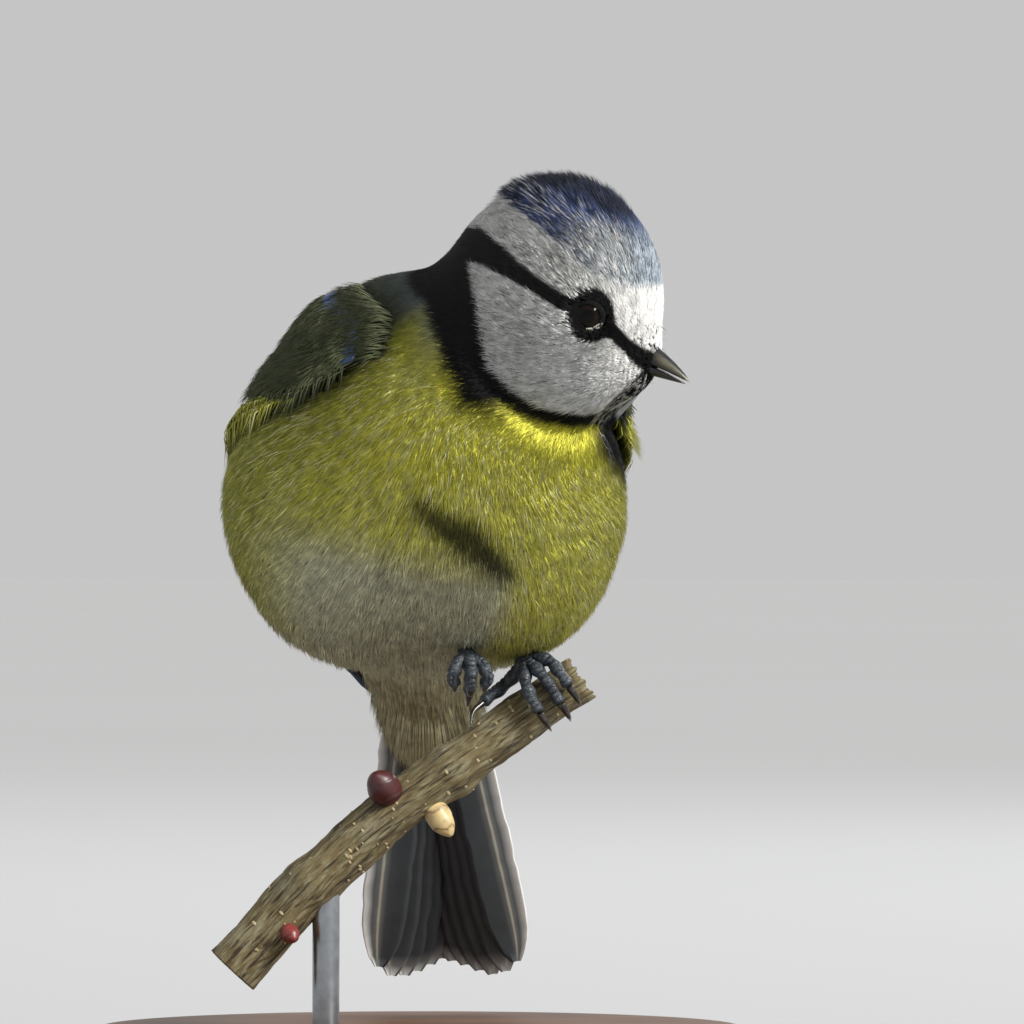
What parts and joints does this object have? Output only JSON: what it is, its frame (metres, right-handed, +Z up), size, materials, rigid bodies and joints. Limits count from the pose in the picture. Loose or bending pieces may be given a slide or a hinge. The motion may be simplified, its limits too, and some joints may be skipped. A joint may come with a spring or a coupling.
{
  "type": "blue tit model on a twig stand",
  "caption": "Life-size still model of a blue tit, perched on a cut twig held by a rod over a round display base, its head turned to one side.",
  "frame": {"origin": "centre of the stand base's underside", "axes": "+Z up; -Y is the way the breast faces, towards the camera; +X is the side that the head is turned to"},
  "size_m": [0.076, 0.076, 0.0996],
  "materials": {
    "head_plumage": "matte azure, white and black feathers",
    "neck_plumage": "matte blue-black feathers",
    "body_plumage": "matte lemon-yellow feathers",
    "wing_plumage": "satin blue feathers with a white bar",
    "tail_plumage": "satin grey-blue feathers",
    "bill_horn": "satin black horn",
    "eye": "wet gloss, very dark brown",
    "leg_scales": "slate-blue scales",
    "claw_horn": "dark satin horn",
    "twig_bark": "rough olive-brown bark",
    "bud_scales": "satin bud scales",
    "stand_wood": "satin dark wood",
    "stand_metal": "brushed"
  },
  "bodies": {
    "root": {"head": "head_plumage", "neck": "neck_plumage", "torso": "body_plumage", "wing_left": "wing_plumage", "wing_right": "wing_plumage", "tail": "tail_plumage", "bill_upper": "bill_horn", "bill_lower": "bill_horn", "eye_left": "eye", "eye_right": "eye", "leg_left": "leg_scales", "leg_right": "leg_scales", "claw_left_middle": "claw_horn", "claw_left_inner": "claw_horn", "claw_left_outer": "claw_horn", "claw_left_hind": "claw_horn", "claw_right_middle": "claw_horn", "claw_right_inner": "claw_horn", "claw_right_outer": "claw_horn", "claw_right_hind": "claw_horn", "perch_twig": "twig_bark", "bud_red": "bud_scales", "bud_pale": "bud_scales", "bud_small": "bud_scales", "stand_base": "stand_wood", "stand_rod": "stand_metal"}
  },
  "joints": []
}
